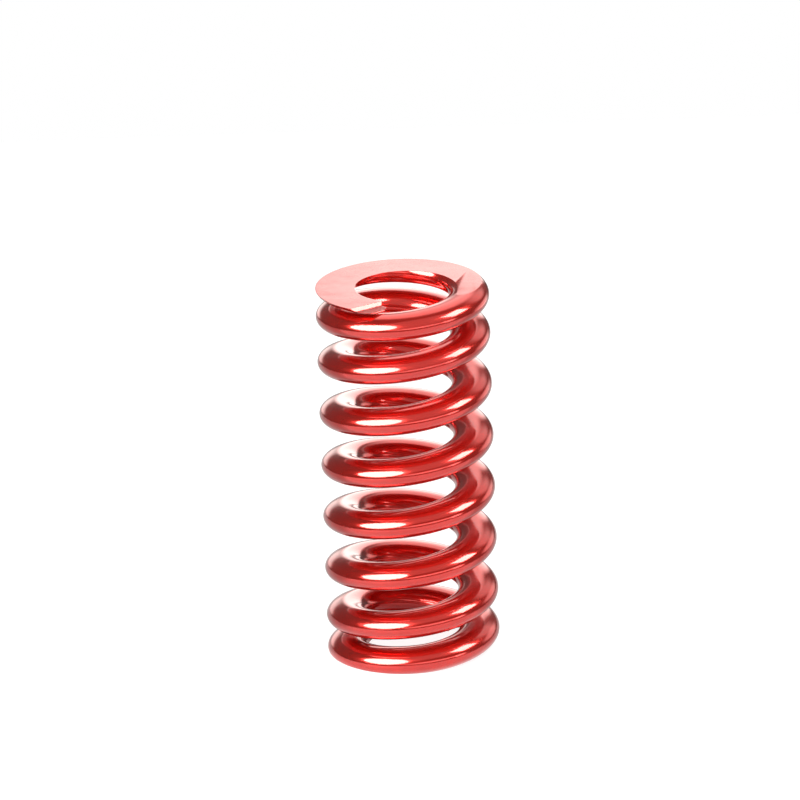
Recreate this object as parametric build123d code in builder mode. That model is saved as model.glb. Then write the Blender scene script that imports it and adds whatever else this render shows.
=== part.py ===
from build123d import *
from math import cos, pi, radians, sin
import os

# A die spring: one length of oval wire in a right-handed coil, with its ends
# closed and ground flat. Millimetres, +Z along the coil's axis, origin at the
# centre of the lower ground face.

# Coil
outer_diameter = 25.0
free_length = 55.0
total_turns = 8.6
upper_tip_angle = -107.0  # direction of the wire's upper end, from +X

# Oval wire, wider across the coil than along it
wire_width = 5.8
wire_height = 3.95

# Ends: the pitch grows evenly from the wire's tip up to the working pitch
closing_turns = 2.1
tip_gap = 0.15  # between the tip and the turn next to it
tip_thickness = 0.9  # what grinding leaves of the wire at its tip

# Nose of each tip: a steep bevel off the ground face, then a low lip
nose_length = 2.1
nose_setback = 0.5  # from the line where the bevel starts to the inner corner
nose_turn = 39.0  # between that line and the wire's end face
bevel_length = 0.52
bevel_drop = 0.5
lip_drop = 0.66  # from the ground face to the lip's far edge
lip_round = 0.15

# Points of the centre line in each turn
points_per_turn = 16

coil_radius = (outer_diameter - wire_width) / 2


def working_pitch():
    """Pitch of the open turns that makes the ground spring free_length tall."""
    share = 1 / (2 * closing_turns)
    closed_rise = closing_turns * (wire_height + tip_gap) / (1 - share)
    total_rise = free_length - 2 * tip_thickness + wire_height
    return (total_rise - closed_rise) / (total_turns - closing_turns - 0.5 / (1 - share))


def tip_pitch():
    """Pitch at the very tip, which leaves tip_gap after one turn."""
    share = 1 / (2 * closing_turns)
    return (wire_height + tip_gap - working_pitch() * share) / (1 - share)


pitch = working_pitch()
end_pitch = tip_pitch()


def rise_from_tip(turns):
    """Rise of the wire's centre over the turns from a tip, up to mid-length."""
    closed = min(turns, closing_turns)
    rise = end_pitch * closed + (pitch - end_pitch) * closed**2 / (2 * closing_turns)
    return rise + pitch * (turns - closed)


def centre_height(turns):
    """Height of the wire's centre above the lower ground face."""
    half = total_turns / 2
    if turns <= half:
        rise = rise_from_tip(turns)
    else:
        rise = 2 * rise_from_tip(half) - rise_from_tip(total_turns - turns)
    return tip_thickness - wire_height / 2 + rise


def direction(turns):
    """Level direction from the axis to the wire, this many turns from the lower tip."""
    angle = radians(upper_tip_angle) + 2 * pi * (turns - total_turns)
    return Vector(cos(angle), sin(angle), 0)


def centre_point(turns):
    return direction(turns) * coil_radius + Vector(0, 0, centre_height(turns))


def tip_tangent(turns):
    """Direction of the wire at a tip."""
    level = Vector(0, 0, 1).cross(direction(turns))
    return level * 2 * pi * coil_radius + Vector(0, 0, end_pitch)


def nose_cutter():
    """Solid that cuts the bevel and the lip on the upper tip."""
    outward = direction(total_turns)
    end_face = Plane(outward * coil_radius, x_dir=outward, z_dir=Vector(0, 0, 1).cross(outward))
    line = outward.rotate(Axis.Z, -nose_turn)
    forward = Vector(0, 0, 1).cross(line)
    inner_corner = outward * (outer_diameter / 2 - wire_width) + Vector(0, 0, free_length)
    depth = tip_thickness + tip_gap / 2
    reach = nose_length + wire_width
    with BuildPart() as cutter:
        with BuildSketch(Plane(inner_corner - forward * nose_setback, x_dir=forward, z_dir=line)):
            with BuildLine():
                foot = (bevel_length, -bevel_drop)
                lip_edge = (nose_length, -lip_drop)
                nose = FilletPolyline((0, 0), foot, lip_edge, (nose_length, -depth), radius=lip_round)
                Polyline(nose @ 1, (reach, -depth), (reach, depth), (0, depth), nose @ 0)
            make_face()
        extrude(amount=2 * wire_width, both=True)
        split(bisect_by=end_face.offset(tip_gap), keep=Keep.BOTTOM)
    return cutter.part


steps = round(total_turns * points_per_turn)
centre_points = [centre_point(total_turns * step / steps) for step in range(steps + 1)]
end_tangents = [tip_tangent(0), tip_tangent(total_turns)]
upper_cutter = nose_cutter()

# Turned over about this level line, the upper end falls on the lower end
turn_over = Axis((0, 0, free_length / 2), direction(total_turns / 2))
lower_cutter = upper_cutter.rotate(turn_over, 180)

with BuildPart() as spring:
    with BuildLine() as centre:
        Spline(*centre_points, tangents=end_tangents, tangent_scalars=(1, 1))
    with BuildSketch(Plane(centre.line @ 0, x_dir=direction(0), z_dir=centre.line % 0)):
        Ellipse(wire_width / 2, wire_height / 2)
    sweep(path=centre.line, is_frenet=True)
    split(bisect_by=Plane.XY, keep=Keep.TOP)
    split(bisect_by=Plane.XY.offset(free_length), keep=Keep.BOTTOM)
    add(upper_cutter, mode=Mode.SUBTRACT)
    add(lower_cutter, mode=Mode.SUBTRACT)

print("working pitch", round(pitch, 3), "pitch at the tips", round(end_pitch, 3))

spring.part.label = "spring"
os.makedirs("parts", exist_ok=True)
export_step(spring.part, "parts/spring.step")
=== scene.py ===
from math import atan, atan2, cos, pi, radians, sin, tan

import bmesh
import bpy
from mathutils import Matrix, Quaternion, Vector


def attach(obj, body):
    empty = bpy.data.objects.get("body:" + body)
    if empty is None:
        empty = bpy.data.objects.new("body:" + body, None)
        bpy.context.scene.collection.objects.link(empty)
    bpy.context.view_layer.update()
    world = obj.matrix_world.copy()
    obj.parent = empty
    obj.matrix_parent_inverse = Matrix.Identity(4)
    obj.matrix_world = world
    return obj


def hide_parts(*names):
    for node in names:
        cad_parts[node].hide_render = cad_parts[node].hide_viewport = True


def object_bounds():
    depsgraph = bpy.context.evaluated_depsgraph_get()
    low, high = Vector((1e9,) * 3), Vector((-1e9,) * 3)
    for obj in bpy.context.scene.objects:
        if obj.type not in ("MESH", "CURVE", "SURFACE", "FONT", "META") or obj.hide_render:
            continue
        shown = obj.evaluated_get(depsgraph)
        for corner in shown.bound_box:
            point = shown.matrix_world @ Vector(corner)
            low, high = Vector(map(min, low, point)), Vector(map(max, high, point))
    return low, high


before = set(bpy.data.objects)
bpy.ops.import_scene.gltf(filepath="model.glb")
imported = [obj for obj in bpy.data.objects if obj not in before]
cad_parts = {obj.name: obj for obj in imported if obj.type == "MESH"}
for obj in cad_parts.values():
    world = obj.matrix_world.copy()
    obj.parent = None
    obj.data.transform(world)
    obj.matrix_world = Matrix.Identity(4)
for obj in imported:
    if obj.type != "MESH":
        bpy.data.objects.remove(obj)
cadLow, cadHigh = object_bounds()
up = Vector((0, 0, 1))
millimetre = 0.001
insideBox = 0.001 * millimetre  # keeps the finished mesh within the frame's box
tiny = 1e-7  # for finding and welding vertices


# selecting and editing

def pickUp(piece):
    # deselects everything else and makes the piece active
    bpy.ops.object.select_all(action="DESELECT")
    piece.select_set(True)
    bpy.context.view_layer.objects.active = piece


def startEditing(piece, kind="VERT"):
    pickUp(piece)
    bpy.ops.object.mode_set(mode="EDIT")
    bpy.ops.mesh.select_mode(type=kind)
    bpy.ops.mesh.select_all(action="DESELECT")


def stopEditing():
    bpy.ops.object.mode_set(mode="OBJECT")


def selectVerts(piece, wanted):
    # selects the vertices whose place passes the test, with what lies between them
    mesh = bmesh.from_edit_mesh(piece.data)
    for vert in mesh.verts:
        vert.select = wanted(vert.co)
    mesh.select_flush_mode()
    bmesh.update_edit_mesh(piece.data)


def selectFaces(piece, wanted):
    mesh = bmesh.from_edit_mesh(piece.data)
    for face in mesh.faces:
        face.select = wanted(face)
    mesh.select_flush_mode()
    bmesh.update_edit_mesh(piece.data)


def turn(angle, centre=(0, 0, 0), axis="Z"):
    # with no window the operator turns the other way, so the angle is negated
    bpy.ops.transform.rotate(value=-angle, orient_axis=axis, center_override=centre)


def cutAway(point, normal):
    # takes off what lies past the plane and closes the cut
    bpy.ops.mesh.bisect(plane_co=point, plane_no=normal, use_fill=True, clear_outer=True, threshold=tiny)


def applyModifiers(piece):
    pickUp(piece)
    for modifier in list(piece.modifiers):
        bpy.ops.object.modifier_apply(modifier=modifier.name)


# the coil's shape

coil = {
    "turns": 8.6,
    "upperTipAngle": radians(-107),  # direction of the wire's upper end, from +X
    "wireWidth": 5.8 * millimetre,
    "wireHeight": 3.95 * millimetre,
    "closingTurns": 2.1,  # the pitch grows over these, from the tip to the open turns
    "tipGap": 0.15 * millimetre,
    "tipThickness": 0.9 * millimetre,
    "stepsPerTurn": 18,
    "wireSides": 16,
    "smoothLevels": 2,
    "spareSteps": 2,  # rings past each tip, cut off later
    "leastTilt": 1e-9,  # smaller changes of the slope are left out
}
length = cadHigh.z - cadLow.z
outerRadius = (cadHigh.x - cadLow.x) / 2 - insideBox
coilRadius = outerRadius - coil["wireWidth"] / 2
tipShare = 1 / (2 * coil["closingTurns"])


def openPitch():
    closedRise = coil["closingTurns"] * (coil["wireHeight"] + coil["tipGap"]) / (1 - tipShare)
    totalRise = length - 2 * coil["tipThickness"] + coil["wireHeight"]
    return (totalRise - closedRise) / (coil["turns"] - coil["closingTurns"] - 0.5 / (1 - tipShare))


openRise = openPitch()
tipRise = (coil["wireHeight"] + coil["tipGap"] - openRise * tipShare) / (1 - tipShare)


def pitchAt(turns):
    fromTip = min(turns, coil["turns"] - turns)
    closed = min(fromTip / coil["closingTurns"], 1)
    return tipRise + (openRise - tipRise) * closed


def riseFromTip(turns):
    closed = min(turns, coil["closingTurns"])
    rise = tipRise * closed + (openRise - tipRise) * closed**2 / (2 * coil["closingTurns"])
    return rise + openRise * (turns - closed)


def centreHeight(turns):
    half = coil["turns"] / 2
    if turns <= half:
        rise = riseFromTip(turns)
    else:
        rise = 2 * riseFromTip(half) - riseFromTip(coil["turns"] - turns)
    return cadLow.z + coil["tipThickness"] - coil["wireHeight"] / 2 + rise


def angleAt(turns):
    return coil["upperTipAngle"] + 2 * pi * (turns - coil["turns"])


def outwardAt(turns):
    return Vector((cos(angleAt(turns)), sin(angleAt(turns)), 0))


def slopeAt(turns):
    return atan(pitchAt(turns) / (2 * pi * coilRadius))


def tilt(turns, centre, angle):
    # leans the selected ring about the level line from the axis to the wire
    across = outwardAt(turns)
    along = up.cross(across)
    frameOfRing = Matrix((across, along, up)).transposed()
    bpy.ops.transform.rotate(value=-angle, orient_axis="X", orient_type="GLOBAL",
                             orient_matrix=frameOfRing, orient_matrix_type="GLOBAL", center_override=centre)


def makeCoil():
    # an oval ring is turned round the axis and lifted step by step, and the cage is then smoothed
    stepAngle = 2 * pi / coil["stepsPerTurn"]
    fullRing = 3 / (2 + cos(stepAngle))  # smoothing pulls a cage in by this much
    fullWire = 3 / (2 + cos(2 * pi / coil["wireSides"]))
    spare = coil["spareSteps"] / coil["stepsPerTurn"]
    steps = round((coil["turns"] + 2 * spare) * coil["stepsPerTurn"])
    turnsPerStep = (coil["turns"] + 2 * spare) / steps
    turns = -spare
    start = Vector((coilRadius * fullRing, 0, centreHeight(turns)))
    bpy.ops.mesh.primitive_circle_add(
        vertices=coil["wireSides"], radius=1, fill_type="NOTHING", location=start, rotation=(pi / 2, 0, 0))
    spring = bpy.context.object
    spring.name = spring.data.name = "lacquered_spring"
    bpy.ops.object.transform_apply(location=True, rotation=True, scale=True)
    startEditing(spring)
    bpy.ops.mesh.select_all(action="SELECT")
    ovalSize = (coil["wireWidth"] / 2 * fullWire * fullRing, 1, coil["wireHeight"] / 2 * fullWire)
    bpy.ops.transform.resize(value=ovalSize, center_override=start)
    turn(angleAt(turns))
    centre = outwardAt(turns) * coilRadius * fullRing + up * centreHeight(turns)
    tilt(turns, centre, slopeAt(turns))
    for step in range(steps):
        rise = centreHeight(turns + turnsPerStep) - centreHeight(turns)
        tiltChange = slopeAt(turns + turnsPerStep) - slopeAt(turns)
        turns += turnsPerStep
        bpy.ops.mesh.extrude_region_move(TRANSFORM_OT_translate={"value": (0, 0, rise)})
        turn(2 * pi * turnsPerStep)
        centre = outwardAt(turns) * coilRadius * fullRing + up * centreHeight(turns)
        if abs(tiltChange) > coil["leastTilt"]:
            tilt(turns, centre, tiltChange)
    bpy.ops.mesh.select_all(action="SELECT")
    bpy.ops.mesh.normals_make_consistent(inside=False)
    stopEditing()
    # the spare rings carry a second slot, so that they can be found again and cut off
    for slot in range(2):
        spring.data.materials.append(None)
    spareFaces = coil["spareSteps"] * coil["wireSides"]
    for face in list(spring.data.polygons)[:spareFaces] + list(spring.data.polygons)[-spareFaces:]:
        face.material_index = 1
    smooth = spring.modifiers.new("smooth", "SUBSURF")
    smooth.levels = smooth.render_levels = coil["smoothLevels"]
    applyModifiers(spring)
    startEditing(spring, "FACE")
    selectFaces(spring, lambda face: face.material_index == 1)
    bpy.ops.mesh.delete(type="FACE")
    bpy.ops.mesh.select_mode(type="EDGE")
    bpy.ops.mesh.select_non_manifold(extend=False)
    bpy.ops.mesh.edge_face_add()
    stopEditing()
    return spring


# the ends: ground flat, with a steep bevel and a low lip at the nose

ends = {
    "noseLength": 2.1 * millimetre,
    "noseSetback": 0.5 * millimetre,  # from where the bevel starts to the inner corner
    "noseTurn": radians(39),  # between that line and the wire's end face
    "bevelLength": 0.52 * millimetre,
    "bevelDrop": 0.5 * millimetre,
    "lipDrop": 0.66 * millimetre,  # from the ground face to the lip's far edge
    "lipRound": 0.15 * millimetre,
    "roundSteps": 8,
    "cutterWidth": 4 * coil["wireWidth"],
    "groundFacing": 0.99999,  # least upward share of a face's normal, on the ground and on the lip
    "lipFacing": 0.9,
    "lipReach": 0.7 * coil["wireWidth"],  # the lip's faces are this close to the tip's centre
    "lipBetween": (0.45 * millimetre, 0.76 * millimetre),  # and this far below the ground face
}
coilMiddle = Vector((0, 0, (cadLow.z + cadHigh.z) / 2))
turnOver = (Matrix.Translation(coilMiddle) @ Matrix.Rotation(pi, 4, outwardAt(coil["turns"] / 2))
            @ Matrix.Translation(-coilMiddle))  # carries the upper end to the lower end
upperTip = outwardAt(coil["turns"])
tipForward = up.cross(upperTip)


def makeNoseCutter():
    # a block with the nose's bevel and lip on its underside, which takes the outer corner off the upper tip
    depth = coil["tipThickness"] + coil["tipGap"] / 2
    reach = coil["wireWidth"] + ends["noseLength"]
    line = Quaternion(up, -ends["noseTurn"]) @ upperTip
    forward = up.cross(line)
    start = upperTip * (outerRadius - coil["wireWidth"]) + up * cadHigh.z - forward * ends["noseSetback"]
    right = Vector((1, 0, 0))
    foot = right * ends["bevelLength"] - up * ends["bevelDrop"]
    lipEdge = right * ends["noseLength"] - up * ends["lipDrop"]
    bpy.ops.mesh.primitive_plane_add(size=1, location=start + right * ends["bevelLength"] / 2)
    cutter = bpy.context.object
    cutter.scale = (ends["bevelLength"], ends["cutterWidth"], 1)
    bpy.ops.object.transform_apply(location=True, rotation=True, scale=True)
    startEditing(cutter)
    selectVerts(cutter, lambda place: place.x > start.x + tiny)
    bpy.ops.transform.translate(value=-up * ends["bevelDrop"])
    downToDepth = up * (ends["lipDrop"] - depth)
    backToStart = (right * (reach - ends["noseLength"]), up * 2 * depth, -right * reach, -up * depth)
    for move in (lipEdge - foot, downToDepth, *backToStart):
        bpy.ops.mesh.extrude_region_move(TRANSFORM_OT_translate={"value": move})
    bpy.ops.mesh.select_all(action="SELECT")
    bpy.ops.mesh.remove_doubles(threshold=tiny)
    bpy.ops.mesh.fill_holes(sides=0)
    bevelSlope = atan2(ends["bevelDrop"], ends["bevelLength"])
    lipSlope = atan2(ends["lipDrop"] - ends["bevelDrop"], ends["noseLength"] - ends["bevelLength"])
    for edge, bend in ((foot, bevelSlope - lipSlope), (lipEdge, pi / 2 - lipSlope)):
        corner = start + edge
        selectVerts(cutter, lambda place: abs(place.x - corner.x) < tiny and abs(place.z - corner.z) < tiny)
        offset = ends["lipRound"] * tan(bend / 2)
        bpy.ops.mesh.bevel(offset=offset, segments=ends["roundSteps"], affect="EDGES")
    bpy.ops.mesh.select_all(action="SELECT")
    turn(forward.xy.angle_signed(Vector((1, 0))), start)
    cutAway(upperTip * coilRadius + tipForward * coil["tipGap"], tipForward)
    bpy.ops.mesh.select_all(action="SELECT")
    bpy.ops.mesh.normals_make_consistent(inside=False)
    stopEditing()
    return cutter


def finishEnd(spring, cutter, placing):
    # cuts one end, with placing the identity for the upper end and turnOver for the lower
    startEditing(spring)
    bpy.ops.mesh.select_all(action="SELECT")
    cutAway(placing @ (up * cadHigh.z), placing.to_3x3() @ up)
    stopEditing()
    cutter.matrix_world = placing
    cut = spring.modifiers.new("nose", "BOOLEAN")
    cut.operation = "DIFFERENCE"
    cut.solver = "EXACT"
    cut.object = cutter
    applyModifiers(spring)


def report(stage, piece):
    print(stage, len(piece.data.polygons), "faces, box", [round(v / millimetre, 3) for v in piece.dimensions])


spring = makeCoil()
report("coil:", spring)
noseCutter = makeNoseCutter()
for placing in (Matrix.Identity(4), turnOver):
    finishEnd(spring, noseCutter, placing)
report("ends: cut,", spring)
bpy.data.objects.remove(noseCutter)


# finish

def newMaterial(name):
    material = bpy.data.materials.new(name)
    material.use_nodes = True
    nodes = material.node_tree.nodes
    return material, nodes, material.node_tree.links, nodes["Principled BSDF"]


def newEffect(name, inputs, outputs):
    # a node group shared by the materials, whose inputs are given as name: (kind, value)
    tree = bpy.data.node_groups.new(name, "ShaderNodeTree")
    for label, (kind, value) in inputs.items():
        socket = tree.interface.new_socket(label, in_out="INPUT", socket_type="NodeSocket" + kind)
        socket.default_value = value
    for label, kind in outputs.items():
        tree.interface.new_socket(label, in_out="OUTPUT", socket_type="NodeSocket" + kind)
    given, result = tree.nodes.new("NodeGroupInput").outputs, tree.nodes.new("NodeGroupOutput").inputs
    return tree, given, result


def addNode(tree, kind, inputs, **settings):
    # inputs are values or the outputs of other nodes
    node = tree.nodes.new("ShaderNode" + kind)
    for setting, value in settings.items():
        setattr(node, setting, value)
    for label, value in inputs.items():
        if isinstance(value, bpy.types.NodeSocket):
            tree.links.new(value, node.inputs[label])
        else:
            node.inputs[label].default_value = value
    return node


def addMath(tree, operation, first, second=0.0):
    return addNode(tree, "Math", {0: first, 1: second}, operation=operation).outputs[0]


def addEffect(tree, effect, **inputs):
    node = addNode(tree, "Group", {}, node_tree=effect)
    for label, value in inputs.items():
        socket = node.inputs[label.replace("_", " ")]
        if isinstance(value, bpy.types.NodeSocket):
            tree.links.new(value, socket)
        else:
            socket.default_value = value
    return node.outputs


def makeStreaks():
    # fine lines drawn along the wire, which show through the paint
    tree, given, height = newEffect(
        "wire_streaks",
        {"Pitch": ("Float", 0.008), "Across": ("Float", 1200), "Along": ("Float", 120),
         "Depth": ("Float", 1e-5)},
        {"Height": "Float"})
    place = addNode(tree, "TexCoord", {}).outputs["Object"]
    split = addNode(tree, "SeparateXYZ", {0: place}).outputs
    angle = addMath(tree, "ARCTAN2", split["Y"], split["X"])
    rise = addMath(tree, "MULTIPLY", addMath(tree, "DIVIDE", angle, 2 * pi), given["Pitch"])
    aboveWire = addMath(tree, "SUBTRACT", split["Z"], rise)
    wrapped = addMath(tree, "FLOORED_MODULO", aboveWire, given["Pitch"])
    flat = addNode(tree, "CombineXYZ", {"X": split["X"], "Y": split["Y"]}).outputs[0]
    radius = addNode(tree, "VectorMath", {0: flat}, operation="LENGTH").outputs["Value"]
    lines = addNode(tree, "CombineXYZ", {
        "X": addMath(tree, "MULTIPLY", split["X"], given["Along"]),
        "Y": addMath(tree, "MULTIPLY", split["Y"], given["Along"]),
        "Z": addMath(tree, "MULTIPLY", wrapped, given["Across"])}).outputs[0]
    depthInWire = addMath(tree, "MULTIPLY", radius, given["Across"])
    noise = addNode(tree, "TexNoise", {"Vector": lines, "W": depthInWire, "Scale": 1.0, "Detail": 0.0},
                    noise_dimensions="4D")
    tree.links.new(addMath(tree, "MULTIPLY", noise.outputs[0], given["Depth"]), height["Height"])
    return tree


def makeGrinding():
    # straight lines left by the wheel, and slow waves in the ground face
    tree, given, height = newEffect(
        "grinding_lines",
        {"Turned": ("Float", 0.0), "Across": ("Float", 3000), "Stretch": ("Vector", (0.04, 1, 1)),
         "Depth": ("Float", 1e-5), "Wave Scale": ("Float", 250), "Wave Depth": ("Float", 1e-5)},
        {"Height": "Float"})
    place = addNode(tree, "TexCoord", {}).outputs["Object"]
    turned = addNode(tree, "VectorRotate", {"Vector": place, "Angle": given["Turned"]},
                     rotation_type="Z_AXIS").outputs[0]
    stretched = addNode(tree, "VectorMath", {0: turned, 1: given["Stretch"]}, operation="MULTIPLY").outputs[0]
    lines = addNode(tree, "TexNoise", {"Vector": stretched, "Scale": given["Across"], "Detail": 3.0})
    waves = addNode(tree, "TexNoise", {"Vector": place, "Scale": given["Wave Scale"], "Detail": 1.0})
    total = addMath(tree, "ADD", addMath(tree, "MULTIPLY", lines.outputs[0], given["Depth"]),
                    addMath(tree, "MULTIPLY", waves.outputs[0], given["Wave Depth"]))
    tree.links.new(total, height["Height"])
    return tree


def makePeel():
    # the slight unevenness of sprayed paint
    tree, given, height = newEffect(
        "orange_peel", {"Scale": ("Float", 700), "Depth": ("Float", 1e-5)}, {"Height": "Float"})
    place = addNode(tree, "TexCoord", {}).outputs["Object"]
    noise = addNode(tree, "TexNoise", {"Vector": place, "Scale": given["Scale"], "Detail": 0.0})
    tree.links.new(addMath(tree, "MULTIPLY", noise.outputs[0], given["Depth"]), height["Height"])
    return tree


def makeDust():
    # sparse specks caught in the paint
    tree, given, mask = newEffect(
        "paint_dust", {"Scale": ("Float", 350), "Size": ("Float", 0.04), "Share": ("Float", 0.3)},
        {"Mask": "Float"})
    place = addNode(tree, "TexCoord", {}).outputs["Object"]
    cells = addNode(tree, "TexVoronoi", {"Vector": place, "Scale": given["Scale"]})
    chance = addNode(tree, "SeparateXYZ", {0: cells.outputs["Color"]}).outputs["X"]
    size = addMath(tree, "MULTIPLY", addMath(tree, "LESS_THAN", chance, given["Share"]), given["Size"])
    fromCentre = addMath(tree, "DIVIDE", cells.outputs["Distance"], addMath(tree, "MAXIMUM", size, 1e-4))
    inside = addMath(tree, "SUBTRACT", 1.0, fromCentre)
    tree.links.new(addMath(tree, "MAXIMUM", inside, 0.0), mask["Mask"])
    return tree


def makeTone():
    # thicker and thinner paint, with the specks darker
    tree, given, tone = newEffect(
        "paint_tone",
        {"Colour": ("Color", (1, 0, 0, 1)), "Deep Colour": ("Color", (0.5, 0, 0, 1)),
         "Cloud Scale": ("Float", 150), "Grain Scale": ("Float", 1000), "Grain Share": ("Float", 0.4),
         "Thinnest": ("Float", 0.35), "Thickest": ("Float", 0.65), "Drift": ("Float", 0.5),
         "Specks": ("Float", 0.0), "Speck Share": ("Float", 0.6), "Roughness": ("Float", 0.3),
         "Unevenness": ("Float", 0.12)},
        {"Colour": "Color", "Roughness": "Float"})
    place = addNode(tree, "TexCoord", {}).outputs["Object"]
    clouds, grain = (
        addNode(tree, "TexNoise", {"Vector": place, "Scale": given[scale], "Detail": 2.0}).outputs[0]
        for scale in ("Cloud Scale", "Grain Scale"))
    both = addNode(tree, "Mix", {"Factor": given["Grain Share"], "A": clouds, "B": grain}).outputs["Result"]
    spread = addNode(tree, "MapRange", {
        "Value": both, "From Min": given["Thinnest"], "From Max": given["Thickest"]}).outputs["Result"]
    share = addMath(tree, "MULTIPLY", spread, given["Drift"])
    mixed = addNode(tree, "Mix", {0: share, 6: given["Colour"], 7: given["Deep Colour"]},
                    data_type="RGBA").outputs[2]
    speckShare = addMath(tree, "MULTIPLY", given["Specks"], given["Speck Share"])
    specked = addNode(tree, "Mix", {0: speckShare, 6: mixed, 7: given["Deep Colour"]}, data_type="RGBA")
    tree.links.new(specked.outputs[2], tone["Colour"])
    uneven = addMath(tree, "MULTIPLY", addMath(tree, "SUBTRACT", spread, 0.5), given["Unevenness"])
    tree.links.new(addMath(tree, "ADD", given["Roughness"], uneven), tone["Roughness"])
    return tree


lacquer = {
    "drawn": {"colour": (0.72, 0.024, 0.015, 1), "deepColour": (0.5, 0.016, 0.012, 1),
              "roughness": 0.17, "coat": 1, "coatRoughness": 0.03},
    "ground": {"colour": (0.72, 0.024, 0.015, 1), "deepColour": (0.5, 0.016, 0.012, 1),
               "roughness": 0.26, "coat": 1, "coatRoughness": 0.03},
    # the nose's colours are darker than the wire's: painted shade on the lip
    "nose": {"colour": (0.42, 0.012, 0.008, 1), "deepColour": (0.25, 0.006, 0.005, 1),
             "roughness": 0.2, "coat": 0.3, "coatRoughness": 0.2},
    "drift": 0.55,  # from the colour to the deep colour
    "metallic": 0.65,
    "coatIndex": 1.5,
    "throughCoat": 0.6,  # share of the metal's relief that shows in the coat
    "streakDepth": 0.002 * millimetre,
    "peelDepth": 0.003 * millimetre,
    "dustDepth": 0.008 * millimetre,
    "grindingTurned": radians(12),
    "grindingDepth": 0.003 * millimetre,
    "waveDepth": 0.05 * millimetre,
    "noseScale": 2200,
    "noseDepth": 0.09 * millimetre,
    "edgeRadius": 0.09 * millimetre,  # softens the shading of the cut edges
    "edgeSamples": 6,
    "smoothBelow": radians(30),
}
streaks, grinding, peel, dust, tone = makeStreaks(), makeGrinding(), makePeel(), makeDust(), makeTone()


def makeRedLacquer(name, finish, relief):
    # bright metal under clear red paint; relief gives the height of the metal under the paint
    material, nodes, links, shader = newMaterial(name)
    tree = material.node_tree
    specks = addEffect(tree, dust)["Mask"]
    metal = relief(tree)
    paint = addMath(tree, "ADD", addEffect(tree, peel, Depth=lacquer["peelDepth"])["Height"],
                    addMath(tree, "MULTIPLY", specks, lacquer["dustDepth"]))
    softened = addNode(tree, "Bevel", {"Radius": lacquer["edgeRadius"]},
                       samples=lacquer["edgeSamples"]).outputs[0]
    under = addNode(tree, "Bump", {"Height": metal, "Distance": 1.0, "Normal": softened}).outputs[0]
    coatHeight = addMath(tree, "ADD", paint, addMath(tree, "MULTIPLY", metal, lacquer["throughCoat"]))
    over = addNode(tree, "Bump", {"Height": coatHeight, "Distance": 1.0, "Normal": softened}).outputs[0]
    toned = addEffect(tree, tone, Colour=finish["colour"], Deep_Colour=finish["deepColour"],
                      Drift=lacquer["drift"], Specks=specks, Roughness=finish["roughness"])
    links.new(toned["Colour"], shader.inputs["Base Color"])
    links.new(toned["Roughness"], shader.inputs["Roughness"])
    shader.inputs["Metallic"].default_value = lacquer["metallic"]
    shader.inputs["Coat Weight"].default_value = finish["coat"]
    shader.inputs["Coat Roughness"].default_value = finish["coatRoughness"]
    shader.inputs["Coat IOR"].default_value = lacquer["coatIndex"]
    links.new(under, shader.inputs["Normal"])
    links.new(over, shader.inputs["Coat Normal"])
    return material


def drawnRelief(tree):
    return addEffect(tree, streaks, Pitch=openRise, Depth=lacquer["streakDepth"])["Height"]


def groundRelief(tree):
    return addEffect(tree, grinding, Turned=lacquer["grindingTurned"], Depth=lacquer["grindingDepth"],
                     Wave_Depth=lacquer["waveDepth"])["Height"]


def noseRelief(tree):
    return addEffect(tree, peel, Scale=lacquer["noseScale"], Depth=lacquer["noseDepth"])["Height"]


def isGround(face):
    height = face.calc_center_median().z
    fromEnd = min(abs(height - cadLow.z), abs(height - cadHigh.z))
    return abs(face.normal.z) > ends["groundFacing"] and fromEnd < insideBox


def isLip(face):
    # the low lip of each nose, which faces the same way as the ground and lies a little below it
    nearest, furthest = ends["lipBetween"]
    for placing in (Matrix.Identity(4), turnOver):
        back = placing.inverted()
        middle = back @ face.calc_center_median()
        fromTip = middle - upperTip * coilRadius
        nearTip = fromTip.xy.length < ends["lipReach"] and fromTip.dot(tipForward) < insideBox
        facesUp = (back.to_3x3() @ face.normal).z > ends["lipFacing"]
        if nearTip and facesUp and nearest < cadHigh.z - middle.z < furthest:
            return True
    return False


spring.data.materials.clear()
for name, finish, relief in (("red_lacquer", "drawn", drawnRelief),
                             ("red_lacquer_ground", "ground", groundRelief),
                             ("red_lacquer_nose_painted_shade", "nose", noseRelief)):
    spring.data.materials.append(makeRedLacquer(name, lacquer[finish], relief))
for face in spring.data.polygons:
    face.material_index = 0
# slot 2 puts the nose finish, with its painted shade, on the lip's faces
for slot, wanted in ((1, isGround), (2, isLip)):
    startEditing(spring, "FACE")
    selectFaces(spring, wanted)
    spring.active_material_index = slot
    bpy.ops.object.material_slot_assign()
    stopEditing()
    count = sum(face.material_index == slot for face in spring.data.polygons)
    print("lacquer: slot", slot, "on", count, "faces")
pickUp(spring)
bpy.ops.object.shade_smooth_by_angle(angle=lacquer["smoothBelow"])
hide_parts("spring")
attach(spring, "root")
print("spring: finished")


# studio

studio = {
    "floorSize": 0.5,
    "floorColour": (0.3, 0.3, 0.3, 1),
    "floorRoughness": 0.7,
    "floorShine": 0.2,
    "floorGlow": 0.9,  # seen by the camera and in reflections only
    "paintedShadeFades": (5 * millimetre, -12 * millimetre),  # along Y, where the painted shadow in reflections fades out to all of the glow
    "shadedGlowBehind": 0.35,  # the share of the glow that reflections see behind the spring, as painted shadow
    "cameraElevation": radians(19.2),
    "cameraRoll": radians(-1.98),
    "cameraDistance": 1.263,
    "cameraLens": 394,
    "cameraClip": (0.01, 20),
    "springRight": 1.15 * millimetre,  # where the spring's middle stands in the frame
    "springDown": 9.6 * millimetre,
    "lightTint": (1, 0.96, 0.91),
    "worldAround": 0.12,
    "worldBelow": 0.1,
    "horizon": 0.05,
}

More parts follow.
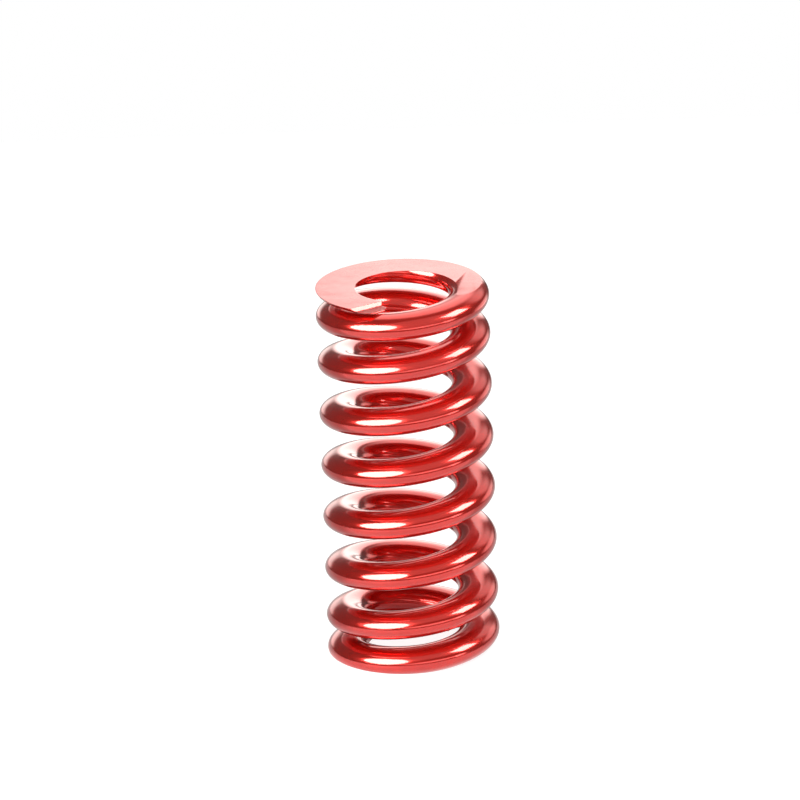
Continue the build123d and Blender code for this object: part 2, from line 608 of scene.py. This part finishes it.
# angles in degrees; soft is the share of a card's width that fades out
lights = {
    "leftGlint": {"azimuth": -49, "elevation": 36, "distance": 0.4, "size": (0.43, 0.36), "radiance": 13,
                  "shape": "ELLIPSE", "inDiffuse": False},
    "rightGlint": {"azimuth": 86, "elevation": 47, "distance": 0.4, "size": (0.18, 0.17), "radiance": 13,
                   "inDiffuse": False},
    "leftKey": {"azimuth": -30, "elevation": 30, "distance": 0.5, "size": (0.4, 0.4), "radiance": 3,
                "inGlossy": False},
    "rightKey": {"azimuth": 50, "elevation": 45, "distance": 0.5, "size": (0.4, 0.4), "radiance": 3,
                 "inGlossy": False},
    "frontTop": {"azimuth": 20, "elevation": 58, "distance": 0.1, "size": (0.16, 0.09), "radiance": 0.45},
    "topBox": {"azimuth": 178, "elevation": 50, "distance": 0.5, "size": (0.42, 0.52), "radiance": 1.5,
               "soft": 0.5},
    "frontCard": {"azimuth": 20, "elevation": 14, "distance": 0.4, "size": (0.8, 0.13), "radiance": 2.2,
                  "soft": 0.5, "inDiffuse": False},
    "rightStrip": {"azimuth": 60, "elevation": 10, "distance": 0.4, "size": (0.16, 0.12), "radiance": 3.5,
                   "soft": 0.5, "inDiffuse": False},
    "rightCard": {"azimuth": 122, "elevation": 6, "distance": 0.12, "size": (0.12, 0.07), "radiance": 1.2,
                  "soft": 0.6, "inDiffuse": False},
    "backCard": {"azimuth": 173, "elevation": 13, "distance": 0.5, "size": (0.26, 0.36), "radiance": 2.0,
                 "soft": 0.4, "inDiffuse": False},
    "leftRear": {"azimuth": -160, "elevation": 2, "distance": 0.4, "size": (0.36, 0.14), "radiance": 1.3,
                 "soft": 0.6, "inDiffuse": False},
    "rightRear": {"azimuth": 140, "elevation": 34, "distance": 0.4, "size": (0.3, 0.3), "radiance": 0.9,
                  "soft": 0.7, "inDiffuse": False},
}


def makeFloor():
    bpy.ops.mesh.primitive_plane_add(size=studio["floorSize"], location=(0, 0, cadLow.z))
    floor = bpy.context.object
    floor.name = "floor"
    material, nodes, links, shader = newMaterial("floor_paper")
    tree = material.node_tree
    shader.inputs["Base Color"].default_value = studio["floorColour"]
    shader.inputs["Roughness"].default_value = studio["floorRoughness"]
    shader.inputs["Specular IOR Level"].default_value = studio["floorShine"]
    path = addNode(tree, "LightPath", {}).outputs
    place = addNode(tree, "SeparateXYZ", {0: addNode(tree, "TexCoord", {}).outputs["Object"]}).outputs
    fadeFrom, fadeTo = studio["paintedShadeFades"]
    # painted shadow: reflections see less of the floor's glow behind the spring
    paintedShadeFactor = addNode(tree, "MapRange", {
        "Value": place["Y"], "From Min": fadeFrom, "From Max": fadeTo, "To Min": studio["shadedGlowBehind"]},
        interpolation_type="SMOOTHSTEP").outputs["Result"]
    mirrored = addMath(tree, "MAXIMUM", path["Is Glossy Ray"], path["Is Transmission Ray"])
    seen = addMath(tree, "MAXIMUM", path["Is Camera Ray"], addMath(tree, "MULTIPLY", mirrored, paintedShadeFactor))
    glow = addNode(tree, "Emission", {"Strength": addMath(tree, "MULTIPLY", seen, studio["floorGlow"])})
    both = addNode(tree, "AddShader", {0: shader.outputs[0], 1: glow.outputs[0]})
    links.new(both.outputs[0], nodes["Material Output"].inputs["Surface"])
    floor.data.materials.append(material)


def directionTo(azimuth, elevation):
    # azimuth 0 is the camera's side, and it grows to the right
    return Vector((sin(azimuth) * cos(elevation), -cos(azimuth) * cos(elevation), sin(elevation)))


def placeLight(name, box):
    towards = directionTo(radians(box["azimuth"]), radians(box["elevation"]))
    bpy.ops.object.light_add(type="AREA", location=coilMiddle + towards * box["distance"])
    light = bpy.context.object
    light.name = name
    light.rotation_euler = towards.to_track_quat("Z", "Y").to_euler()
    light.data.color = studio["lightTint"]
    light.data.shape = box.get("shape", "RECTANGLE")
    light.data.size, light.data.size_y = box["size"]
    light.data.energy = box["radiance"] * pi * box["size"][0] * box["size"][1]
    light.visible_camera = False
    light.visible_diffuse = box.get("inDiffuse", True)
    light.visible_glossy = box.get("inGlossy", True)
    if "soft" in box:
        fadeOut(light.data, box["soft"])


def fadeOut(lamp, soft):
    # dims a card smoothly from a rounded middle to its rim
    lamp.use_nodes = True
    tree = lamp.node_tree
    onCard = addNode(tree, "NewGeometry", {}).outputs["Parametric"]
    fromMiddle = addNode(tree, "VectorMath", {0: onCard, 1: (0.5, 0.5, 0)}, operation="DISTANCE")
    fade = addNode(tree, "MapRange", {
        "Value": fromMiddle.outputs["Value"], "From Min": 0.5, "From Max": 0.5 * (1 - soft)},
        interpolation_type="SMOOTHSTEP")
    tree.links.new(fade.outputs["Result"], tree.nodes["Emission"].inputs["Strength"])


def makeWorld():
    # dim and slightly warm for the object, plain white for the camera
    world = bpy.data.worlds.new("studio")
    bpy.context.scene.world = world
    world.use_nodes = True
    tree = world.node_tree
    background = tree.nodes["Background"]
    towards = addNode(tree, "SeparateXYZ", {0: addNode(tree, "TexCoord", {}).outputs["Generated"]}).outputs
    around = addNode(tree, "MapRange", {
        "Value": towards["Z"], "From Min": -studio["horizon"], "From Max": studio["horizon"],
        "To Min": studio["worldBelow"], "To Max": studio["worldAround"]}).outputs["Result"]
    toCamera = addNode(tree, "LightPath", {}).outputs["Is Camera Ray"]
    strength = addNode(tree, "Mix", {"Factor": toCamera, "A": around, "B": 1.0}, data_type="FLOAT")
    colour = addNode(tree, "Mix", {0: toCamera, 6: (*studio["lightTint"], 1), 7: (1, 1, 1, 1)},
                     data_type="RGBA")
    tree.links.new(strength.outputs["Result"], background.inputs["Strength"])
    tree.links.new(colour.outputs[2], background.inputs["Color"])


def makeCamera():
    back = Vector((0, -cos(studio["cameraElevation"]), sin(studio["cameraElevation"])))
    facing = back.to_track_quat("Z", "Y") @ Quaternion((0, 0, 1), studio["cameraRoll"])
    right, above = facing @ Vector((1, 0, 0)), facing @ Vector((0, 1, 0))
    aim = coilMiddle - right * studio["springRight"] + above * studio["springDown"]
    bpy.ops.object.camera_add(location=aim + back * studio["cameraDistance"], rotation=facing.to_euler())
    camera = bpy.context.object
    camera.name = "camera"
    camera.data.lens = studio["cameraLens"]
    camera.data.clip_start, camera.data.clip_end = studio["cameraClip"]
    bpy.context.scene.camera = camera


makeFloor()
for name, box in lights.items():
    placeLight(name, box)
makeWorld()
makeCamera()
bpy.context.scene.view_settings.view_transform = "Standard"
print("studio: ready")
